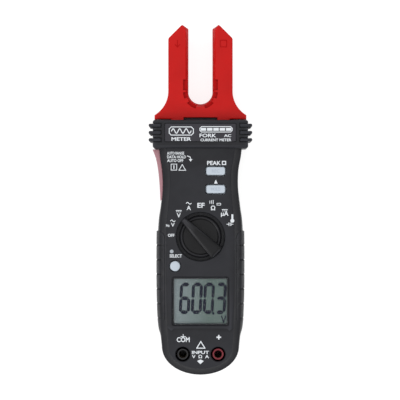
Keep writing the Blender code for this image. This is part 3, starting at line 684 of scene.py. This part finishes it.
def make_door():
    """The battery door, outside face down, with finger grooves and an arrow."""
    low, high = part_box("battery_door")
    screw = middle("door_screw")
    outline = node_outline("battery_door", 0.0, 0.8 * MM)
    door = prism("door_plate", outline, rounded_levels(low.z, high.z, 0.3 * MM))
    room = [mm(*point) for point in ((0, 9), (1.5, 9), (1.5, 1.4), (2.9, 1.4), (2.9, -1), (0, -1))]
    tools = [turned("screw_room", room, screw, 48)]
    for number in range(7):
        y = low.y + 22 * MM + number * 2.2 * MM
        groove = rounded_rectangle((0.0, y), mm(16.0, 1.0), 0.49 * MM)
        tools.append(prism("finger_groove", groove, ((-0.01, 0.0), (low.z + 0.5 * MM, 0.0))))
    arrow = ((-3.4, 0.0), (3.4, 0.0), (0.0, 4.6))
    arrow_y = low.y + 42 * MM
    outline = [(x * MM, arrow_y + y * MM) for x, y in arrow]
    tools.append(prism("arrow", outline, ((-0.01, 0.0), (low.z + 0.4 * MM, 0.0))))
    cut(door, *tools)
    place(door, "door", "case_black", CASE, "battery_door")


# --- fork -----------------------------------------------------------------------------
GAP_HALF = 6.6 * MM
GAP_CENTRE_Y = 58.6 * MM


def fork_outline():
    half = []
    for step in range(25):
        angle = math.radians(-90 + 90 * step / 24)
        half.append((GAP_HALF * math.cos(angle), GAP_CENTRE_Y + GAP_HALF * math.sin(angle)))
    half[0] = (0.0, half[0][1])
    tip = ((6.6, 92.9), (9.3, 94.7), (9.9, 95.0), (10.6, 94.6), (17.1, 88.1), (17.5, 87.3))
    half += [(x * MM, y * MM) for x, y in tip]
    radius = 15.07 * MM
    start_x, start_y = 17.5 * MM, 59.0 * MM
    sweep = math.asin(13.0 / 15.07)
    for step in range(19):
        angle = math.pi + sweep * step / 18
        half.append((start_x + radius + radius * math.cos(angle), start_y + radius * math.sin(angle)))
    half += [(24.95 * MM, 43.7 * MM), (15.9 * MM, 43.7 * MM), (15.9 * MM, FORK_LOW.y)]
    left = [(-x, y) for x, y in reversed(half[1:])]
    return list(reversed(half + left))


BAND_ANGLES = ((-74, -40), (-23, -1), (181, 203), (220, 254))
BAND_Y = mm(59.5, 65.3)
BAND_DEPTH = 1.3 * MM
BAND_TURN = 400                   # degrees taken off a sector's ends for each metre of shrink


def ring_sector(name, angles, radii, levels):
    """Part of a ring around the gap's round end."""
    sweep = [math.radians(angles[0] + (angles[1] - angles[0]) * step / 10) for step in range(11)]
    outer = [(radii[1] * math.cos(a), GAP_CENTRE_Y + radii[1] * math.sin(a)) for a in sweep]
    inner = [(radii[0] * math.cos(a), GAP_CENTRE_Y + radii[0] * math.sin(a)) for a in reversed(sweep)]
    return prism(name, outer + inner, ((levels[0], 0.0), (levels[1], 0.0)))


def band_pieces(name, radii, levels, shrink):
    """The notches of the castellated band beside the gap, or the darker red plates that line them as painted
    shade.
    """
    pieces = []
    for start, end in BAND_ANGLES:
        angles = (start + shrink * BAND_TURN, end - shrink * BAND_TURN)
        pieces.append(ring_sector(name, angles, radii, levels))
    for side in (-1, 1):
        span = sorted((side * radii[0], side * radii[1]))
        pieces.append(block(name, span, (BAND_Y[0] + shrink, BAND_Y[1] - shrink), levels))
    return pieces


def prong_marks():
    """Faint marks near the tips: an arrow on the left and a square on the right."""
    marks = line((-12.5, 82.9), (-12.5, 86.5), width=0.5)
    marks += line((-13.7, 84.2), (-12.5, 82.9), (-11.3, 84.2), width=0.5)
    marks += line((10.8, 83.0), (14.2, 83.0), (14.2, 86.6), (10.8, 86.6), width=0.5, closed=True)
    flat_marks("prong_marks", marks, FORK_HIGH.z, NOTCH_SHADE_AND_MARK_RED, "fork_red")


def fork_ring(outline, z):
    """The fork's outline at z: rounded outer edges and a wider slope along the gap."""
    depth = min(z - FORK_LOW.z, FORK_HIGH.z - z)
    rounding = 0.9 * MM
    short = max(0.0, rounding - depth)
    edge = rounding - math.sqrt(rounding ** 2 - short ** 2)
    slope = 1.6 * MM * max(0.0, 1 - depth / (2.4 * MM))
    insets = [slope if abs(x) < 7.0 * MM and y > 51.5 * MM else edge for x, y in outline]
    return [(x, y, z) for x, y in offset(outline, insets)]


def make_fork():
    outline = fork_outline()
    steps = mm(0.0, 0.12, 0.35, 0.6, 0.9, 2.4)
    heights = [FORK_LOW.z + step for step in steps] + [FORK_HIGH.z - step for step in reversed(steps)]
    for name, node, removed in (
        ("fork_face", "fork_front_shell", (-0.01, FRONT_LOW.z)),
        ("fork_back", "fork_rear_shell", (FRONT_LOW.z - 0.06 * MM, 0.05)),
    ):
        shell = loft(name, [fork_ring(outline, z) for z in heights], 28)
        cut(shell, block("parting", (-0.05, 0.05), (-0.12, 0.12), removed))
        if name == "fork_face":
            notch = block("base_notch", mm(-9.2, 9.2), mm(40.0, 44.8), mm(14.5, 30.0))
            levels = (FORK_HIGH.z - BAND_DEPTH, FORK_HIGH.z + 1 * MM)
            notches = band_pieces("band_notch", mm(5.5, 9.4), levels, 0.0)
            cut(shell, notch, *notches)
        place(shell, "housing", "fork_red", RED, node)
    # Thin darker red plates on the notch floors are painted shade in the notches.
    floor = FORK_HIGH.z - BAND_DEPTH
    shade_plates = band_pieces("fork_band", mm(7.4, 9.3), (floor, floor + 0.15 * MM), 0.1 * MM)
    for number, plate in enumerate(shade_plates, 1):
        plate.name = f"fork_band_{number}"
        place(plate, "housing", "fork_red", NOTCH_SHADE_AND_MARK_RED)
    prong_marks()


def make_side_filler():
    low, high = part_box("side_insert")
    piece = prism("side_filler", insert_outline(), rounded_levels(low.z, high.z, 0.5 * MM))
    # The filler's pale pink is a painted sheen over red plastic.
    place(piece, "housing", "fork_red", SIDE_RED_PAINTED_SHEEN, "side_insert")


# --- controls -------------------------------------------------------------------------
def make_knob():
    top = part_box("selector_knob")[1].z
    profile = [mm(*point) for point in (
        (0, 26.2), (9.2, 26.2), (9.7, 26.6), (10.2, 26.75), (10.6, 26.5), (11.4, 24.4), (11.5, 24.1),
        (11.5, 23.8), (3.2, 23.8), (3.2, 21.0), (0, 21.0),
    )]
    knob = turned("knob", profile, KNOB, 96)
    pointer_angle = math.radians(135)
    along_x, along_y = math.cos(pointer_angle), math.sin(pointer_angle)
    bar = [mm(*point) for point in (
        (12.8, -1.2), (13.2, -0.7), (13.2, 0.7), (12.8, 1.2), (4.0, 2.3), (-11.6, 3.7), (-12.3, 3.3),
        (-12.6, 2.4), (-12.6, -2.4), (-12.3, -3.3), (-11.6, -3.7), (4.0, -2.3),
    )]
    outline = [
        (KNOB.x + x * along_x - y * along_y, KNOB.y + x * along_y + y * along_x)
        for x, y in bar
    ]
    slopes = [0.5 * MM if x > 12 * MM else 1.25 * MM for x, y in bar]
    rings = ((26.45, -0.3), (26.9, -0.1), (30.9, 0.15))
    levels = [(z * MM, inset * MM) for z, inset in rings] + [(top, slopes)]
    join(knob, prism("bar", outline, levels))
    place(knob, "selector", "case_black", KNOB_BLACK, "selector_knob")


def make_keys():
    for name, node, body in (("rec_cap", "rec_key", "rec_button"), ("hold_cap", "hold_key", "hold_button")):
        low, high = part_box(node)
        cap = prism(name, key_outline(node), rounded_levels(low.z + 0.5 * MM, high.z, 0.45 * MM, 4, False))
        flange = prism("flange", key_outline(node, 0.6 * MM), ((low.z, 0.0), (low.z + 0.9 * MM, 0.0)))
        join(cap, flange)
        place(cap, body, "key_pale", KEY, node)
    low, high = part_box("select_key")
    radius = 2.7 * MM
    profile = (
        (0, high.z), (1.5 * MM, high.z - 0.03 * MM), (2.2 * MM, high.z - 0.12 * MM),
        (radius - 0.1 * MM, high.z - 0.35 * MM), (radius, high.z - 0.7 * MM), (radius, low.z + 0.9 * MM),
        (3.2 * MM, low.z + 0.9 * MM), (3.2 * MM, low.z), (0, low.z),
    )
    cap = turned("select_cap", profile, middle("select_key"))
    place(cap, "select_button", "key_pale", KEY, "select_key")


# --- sockets --------------------------------------------------------------------------
def make_sockets():
    jacks = (("com_socket", SOCKET_BLACK, "socket_black"), ("volt_socket", SOCKET_RED, "socket_red"))
    for node, look, slot in jacks:
        low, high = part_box(node)
        top = high.z
        profile = (
            (5.1 * MM, 23.5 * MM), (5.1 * MM, low.z),
            (0.3 * MM, low.z), (0.3 * MM, low.z + 1.2 * MM),
            (2.7 * MM, low.z + 1.2 * MM), (2.7 * MM, top - 1.1 * MM), (2.1 * MM, top - 0.9 * MM),
            (2.1 * MM, top - 0.15 * MM), (2.25 * MM, top), (2.85 * MM, top), (3.0 * MM, top - 0.2 * MM),
            (3.0 * MM, low.z + 1.5 * MM), (4.3 * MM, low.z + 1.5 * MM), (4.3 * MM, 23.5 * MM),
        )
        piece = turned(node.replace("socket", "jack"), profile, middle(node), 72)
        place(piece, "housing", slot, look, node)


# --- display --------------------------------------------------------------------------
def make_display():
    low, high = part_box("display_lens")
    outline = node_outline("display_lens", 0.0, 0.9 * MM)
    lens = prism("lens", outline, rounded_levels(low.z, high.z, 0.15 * MM, 2))
    place(lens, "housing", "clear_lens", LENS, "display_lens")


SEGMENTS = {"0": "abcdef", "3": "abcdg", "6": "acdefg"}


def segment_bar(start, end, width):
    """Pointed bar between two points."""
    start, end = Vector(start), Vector(end)
    along = (end - start).normalized()
    side = Vector((-along.y, along.x)) * width / 2
    tip = along * width / 2
    start, end = start + along * 0.1 * MM, end - along * 0.1 * MM
    return [start, start + tip - side, end - tip - side, end, end - tip + side, start + tip + side]


def digit_bars(digit, left, bottom):
    """Outlines of one seven-segment digit's lit bars, before the lean."""
    right, half, top = left + 4.3 * MM, bottom + 7.5 * MM, bottom + 15.0 * MM
    bars = {
        "a": ((left, top), (right, top)), "b": ((right, half), (right, top)),
        "c": ((right, bottom), (right, half)), "d": ((left, bottom), (right, bottom)),
        "e": ((left, bottom), (left, half)), "f": ((left, half), (left, top)),
        "g": ((left, half), (right, half)),
    }
    return [segment_bar(*bars[key], (2.1 if key in "adg" else 1.7) * MM) for key in SEGMENTS[digit]]


def make_digits():
    """A reading of 600.3 V in seven-segment digits that lean a little to the right."""
    bottom = -60.8 * MM
    outlines = []
    for index, digit in enumerate("6003"):
        outlines += digit_bars(digit, (-10.9 + 6.45 * index) * MM, bottom)
    outlines.append(rectangle(7.0, -61.4, 1.2, 1.5))
    lean = 0.05
    leaning = [[(x + (y - bottom) * lean, y) for x, y in outline] for outline in outlines]
    leaning += line((11.4, -63.0), (12.5, -66.2), (13.6, -63.0), width=0.7)
    flat_marks("lcd_digits", leaning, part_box("lcd_glass")[1].z, INK, "part_black", 0.05 * MM)


# --- printing -------------------------------------------------------------------------
def rectangle(x, y, width, height):
    """Outline of a rectangle centred on x, y."""
    corners = ((-1, -1), (1, -1), (1, 1), (-1, 1))
    return [((x + sx * width / 2) * MM, (y + sy * height / 2) * MM) for sx, sy in corners]


def disc(x, y, radius):
    angles = [2 * math.pi * step / 24 for step in range(24)]
    return [((x + radius * math.cos(a)) * MM, (y + radius * math.sin(a)) * MM) for a in angles]


def line(*points, width=0.35, closed=False):
    """Bars along a line through points in millimetres."""
    ends = list(points[1:]) + ([points[0]] if closed else [])
    bars = []
    for start, end in zip(points, ends):
        start, end = Vector(start), Vector(end)
        along = (end - start).normalized() * width / 2
        side = Vector((-along.y, along.x))
        corners = (start - along - side, end + along - side, end + along + side, start - along + side)
        bars.append([(corner.x * MM, corner.y * MM) for corner in corners])
    return bars


def flat_marks(name, outlines, z, look=None, slot="key_pale", thick=0.04 * MM):
    """Thin printed shapes lying on the surface at height z; their tops differ where strokes cross."""
    shape = bmesh.new()
    for number, outline in enumerate(outlines):
        low = z + 0.01 * MM
        high = low + thick + number % 8 * 0.002 * MM
        lower = [shape.verts.new((x, y, low)) for x, y in outline]
        upper = [shape.verts.new((x, y, high)) for x, y in outline]
        shape.faces.new(list(reversed(lower)))
        shape.faces.new(upper)
        for i in range(len(lower)):
            j = (i + 1) % len(lower)
            shape.faces.new((lower[i], lower[j], upper[j], upper[i]))
    return place(add_mesh(name, shape), "housing", slot, look or PRINT)


def glyphs(text, size, centre, width=None):
    """Generic lettering centred on a point; size is the capital height, width its full length."""
    curve = bpy.data.curves.new("text", "FONT")
    curve.body = text
    curve.size = size / 0.69
    curve.align_x = "CENTER"
    curve.align_y = "CENTER"
    curve.offset = size * 0.035
    curve.resolution_u = 3
    curve.extrude = 0.02 * MM
    holder = bpy.data.objects.new("text", curve)
    bpy.context.scene.collection.objects.link(holder)
    graph = bpy.context.evaluated_depsgraph_get()
    mesh = bpy.data.meshes.new_from_object(holder.evaluated_get(graph))
    bpy.data.objects.remove(holder, do_unlink=True)
    low = [min(vertex.co[axis] for vertex in mesh.vertices) for axis in range(2)]
    high = [max(vertex.co[axis] for vertex in mesh.vertices) for axis in range(2)]
    stretch = width / (high[0] - low[0]) if width else 1.0
    for vertex in mesh.vertices:
        vertex.co.x = centre[0] + (vertex.co.x - (low[0] + high[0]) / 2) * stretch
        vertex.co.y = centre[1] + vertex.co.y - (low[1] + high[1]) / 2
        vertex.co.z += centre[2] + 0.03 * MM
    return mesh


def lettering(name, entries, z, look=PRINT, body="housing", slot="key_pale"):
    """Entries are (text, capital height, x, y, full width or None) in millimetres."""
    shape = bmesh.new()
    for text, size, x, y, width in entries:
        mesh = glyphs(text, size * MM, (x * MM, y * MM, z), width * MM if width else None)
        shape.from_mesh(mesh)
        bpy.data.meshes.remove(mesh)
    return place(add_mesh(name, shape), body, slot, look)


def direct_sign(x, y, width):
    """A bar over three dashes, the sign for direct current."""
    dashes = [rectangle(x + step * width / 3, y - 0.7, width / 4.5, 0.32) for step in (-1, 0, 1)]
    return [rectangle(x, y, width, 0.38)] + dashes


def wave(x, y, width, height, line_width=0.38):
    """One period of a sine wave."""
    steps = 12
    points = []
    for step in range(steps + 1):
        share = step / steps
        points.append((x + (share - 0.5) * width, y + height / 2 * math.sin(2 * math.pi * share)))
    return line(*points, width=line_width)


def make_legends():
    dial = (
        ("OFF", 1.55, -15.8, -19.2, 3.5), ("Hz", 1.3, -17.6, -13.9, 1.9), ("V", 1.9, -14.9, -13.5, 2.0),
        ("V", 2.2, -11.7, -8.4, 2.1), ("A", 2.2, -6.3, -4.4, 2.3),
        ("EF", 2.5, 0.3, -3.0, 3.9), ("Ω", 2.2, 6.8, -4.4, 2.4),
        ("µA", 2.4, 13.1, -7.7, 4.1), ("SELECT", 1.6, -13.3, -30.3, 6.6),
    )
    lettering("dial_legends", dial, FACE_Z)
    beeper = line((5.1, -1.9), (5.1, -0.7)) + line((6.0, -2.0), (6.0, -0.5)) + line((6.9, -2.2), (6.9, -0.3))
    beeper += line((8.9, -2.9), (10.9, -2.9), (10.9, -1.9), (8.9, -1.9), width=0.3, closed=True)
    thermometer = [rectangle(17.2, -9.4, 1.0, 3.1), disc(17.2, -11.3, 1.05)]
    capacitor = line((14.3, -13.2), (15.4, -13.2)) + line((16.4, -13.2), (17.5, -13.2))
    for x in (15.4, 16.4):
        capacitor += line((x, -13.9), (x, -12.5), width=0.45)
    signs = direct_sign(-11.7, -5.8, 3.1) + direct_sign(13.1, -5.3, 3.1)
    signs += wave(-14.9, -11.4, 2.4, 0.9) + wave(-6.3, -1.9, 2.6, 0.9)
    flat_marks("dial_marks", beeper + thermometer + capacitor + signs, FACE_Z)
    flat_marks("select_dot", [disc(-15.5, -27.9, 1.0)], FACE_Z, GREY_PRINT)

    notes = (
        ("AUTO RANGE", 1.45, -13.4, 25.1, 9.2), ("DATA HOLD", 1.45, -12.9, 23.1, 10.1),
        ("AUTO OFF", 1.45, -13.6, 21.1, 8.7), ("PEAK", 2.1, 7.3, 19.8, 7.4), ("▲", 1.8, 8.3, 9.8, 1.9),
    )
    lettering("panel_notes", notes, FACE_Z)
    marks = line((-7.0, 23.6), (-5.5, 23.0), (-5.3, 21.9), width=0.4)
    marks += [[mm(-6.3, 21.9), mm(-5.3, 20.6), mm(-4.3, 21.9)]]
    marks += line((-15.8, 16.0), (-12.8, 16.0), (-12.8, 19.2), (-15.8, 19.2), closed=True)
    marks += line((-14.3, 16.9), (-14.3, 18.3), width=0.5)
    marks += line((-11.6, 15.9), (-8.0, 15.9), (-9.8, 19.0), closed=True)
    marks += line((11.8, 19.0), (13.6, 19.0), (13.6, 20.7), (11.8, 20.7), width=0.5, closed=True)
    flat_marks("panel_marks", marks, FACE_Z)

    inputs = (
        ("COM", 2.5, -9.3, -75.5, 7.0), ("INPUT", 1.6, 0.0, -82.4, 9.2), ("V  Ω  A", 1.6, 0.0, -84.6, 9.2),
    )
    lettering("input_legends", inputs, POD_Z)
    marks = line((9.9, -75.1), (9.9, -73.3), width=0.7) + line((9.0, -74.2), (10.8, -74.2), width=0.7)
    marks += line((-9.3, -73.9), (-9.3, -72.7)) + line((-10.5, -73.9), (-8.1, -73.9), width=0.4)
    marks += line((-2.0, -80.1), (2.4, -80.1), (0.2, -76.5), width=0.5, closed=True)
    marks += [[mm(-1.8, -87.0), mm(0.0, -88.7), mm(1.8, -87.0), mm(0.0, -86.2)]]
    flat_marks("input_marks", marks, POD_Z)

    for text, node, body in (("REC", "rec_key", "rec_button"), ("HOLD", "hold_key", "hold_button")):
        centre, top = middle(node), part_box(node)[1].z
        entry = (text, 1.7, centre.x / MM, centre.y / MM, 4.2 if text == "REC" else 5.0)
        lettering(text.lower() + "_print", [entry], top - 0.03 * MM, KEY_PRINT, body)


# --- name plate -----------------------------------------------------------------------
def chamfered(x, y, width, height, corner):
    """Corner points of a rectangle with cut corners, in millimetres."""
    half_x, half_y = width / 2, height / 2
    right = (
        (half_x - corner, -half_y), (half_x, -half_y + corner),
        (half_x, half_y - corner), (half_x - corner, half_y),
    )
    left = tuple((-px, py) for px, py in reversed(right))
    return [(x + px, y + py) for px, py in right + left]


def make_plate():
    """The plate keeps the layout of two printed blocks; a wave and plain words fill them."""
    low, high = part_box("name_plate")
    levels = rounded_levels(low.z, high.z, 0.2 * MM, 2)
    plate = prism("guard_plate", node_outline("name_plate", 0.0, 0.6 * MM), levels)
    place(plate, "housing", "plate_grey", PLATE, "name_plate")
    marks = line(*chamfered(-10.3, 37.0, 13.0, 4.4, 1.1), width=0.45, closed=True)
    for number in range(3):
        marks += wave(-13.8 + 3.5 * number, 37.0, 3.5, 2.4, 0.5)
    marks += line(*chamfered(8.4, 37.9, 17.4, 2.9, 0.9), width=0.4, closed=True)
    marks += [rectangle(1.6 + 3.4 * step, 37.9, 2.9, 1.5) for step in range(5)]
    flat_marks("plate_marks", marks, high.z)
    words = (
        ("METER", 1.8, -10.3, 32.7, 10.6), ("FORK", 1.8, 4.0, 34.6, 9.0), ("AC", 1.4, 14.6, 34.5, 3.8),
        ("CURRENT METER", 1.35, 8.3, 32.2, 16.6),
    )
    lettering("plate_words", words, high.z)


# --- fasteners ------------------------------------------------------------------------
def cross_screw(name, node, head_radius, head_z, body):
    """A screw with a cross recess in its head, which faces down."""
    low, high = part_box(node)
    centre = middle(node)
    profile = (
        (0, high.z), (0.5 * MM, high.z), (1.15 * MM, high.z - 1.2 * MM), (1.15 * MM, head_z),
        (head_radius, head_z), (head_radius, low.z + 0.25 * MM),
        (head_radius - 0.35 * MM, low.z), (0, low.z),
    )
    screw = turned(name, profile, centre, 40)
    depth = low.z + 0.9 * (head_z - low.z)
    arms = []
    for size in ((1.3, 0.25), (0.25, 1.3)):
        x = (centre.x - size[0] * MM, centre.x + size[0] * MM)
        y = (centre.y - size[1] * MM, centre.y + size[1] * MM)
        arms.append(block("arm", x, y, (low.z - 1 * MM, depth)))
    cut(screw, *arms)
    place(screw, body, "steel", STEEL, node)


# --- stage ----------------------------------------------------------------------------
def make_stage():
    shape = bmesh.new()
    bmesh.ops.create_grid(shape, x_segments=1, y_segments=1, size=3.0)
    floor = add_mesh("floor", shape)
    material, tree, shader = new_material("pale_floor")
    tint = ramp(tree, noise(tree, 6.0), (0.31, 0.31, 0.31), (0.34, 0.34, 0.34))
    tree.links.new(tint, shader.inputs["Base Color"])
    shader.inputs["Roughness"].default_value = 0.9
    shader.inputs["Specular IOR Level"].default_value = 0.0
    shader.inputs["Emission Color"].default_value = (1.0, 1.0, 1.0, 1.0)
    shader.inputs["Emission Strength"].default_value = 0.80
    floor.data.materials.append(material)

    world = bpy.data.worlds.new("studio")
    world.use_nodes = True
    nodes = world.node_tree.nodes
    links = world.node_tree.links
    direction = nodes.new("ShaderNodeTexCoord")
    split = nodes.new("ShaderNodeSeparateXYZ")
    overhead = nodes.new("ShaderNodeMapRange")
    overhead.inputs["To Min"].default_value = 0.20
    overhead.inputs["To Max"].default_value = 1.60
    links.new(direction.outputs["Generated"], split.inputs["Vector"])
    links.new(split.outputs["Z"], overhead.inputs["Value"])
    links.new(overhead.outputs["Result"], nodes["Background"].inputs["Strength"])
    nodes["Background"].inputs["Color"].default_value = (1.0, 1.0, 1.0, 1.0)
    bpy.context.scene.world = world

    def softbox(name, location, size, power):
        light = bpy.data.lights.new(name, "AREA")
        light.shape = "RECTANGLE"
        light.size, light.size_y = size
        light.energy = power
        lamp = bpy.data.objects.new(name, light)
        lamp.location = location
        aim = Vector((0, 0, 0.01)) - Vector(location)
        lamp.rotation_euler = aim.to_track_quat("-Z", "Y").to_euler()
        bpy.context.scene.collection.objects.link(lamp)

    softbox("key_light", (-0.75, -0.55, 0.75), (0.35, 0.35), 3.2)

    camera = bpy.data.cameras.new("camera")
    distance = 0.90
    view_width = 217.4 * MM
    camera.sensor_width = 36.0
    camera.lens = 36.0 * distance / view_width
    camera.clip_start = 0.01
    holder = bpy.data.objects.new("camera", camera)
    holder.location = (-0.24 * MM, -0.14 * MM, 19 * MM + distance)
    bpy.context.scene.collection.objects.link(holder)
    bpy.context.scene.camera = holder
    bpy.context.scene.view_settings.view_transform = "Standard"


make_stage()
dress_frame()
make_front()
make_rear()
make_door()
make_fork()
make_side_filler()
make_plate()
make_knob()
make_keys()
make_sockets()
make_display()
make_digits()
make_legends()
for screw_number in range(1, 5):
    cross_screw(f"cover_screw_{screw_number}", f"case_screw_{screw_number}", 2.2 * MM, 3.0 * MM, "housing")
cross_screw("battery_door_screw", "door_screw", 2.6 * MM, 1.1 * MM, "door")
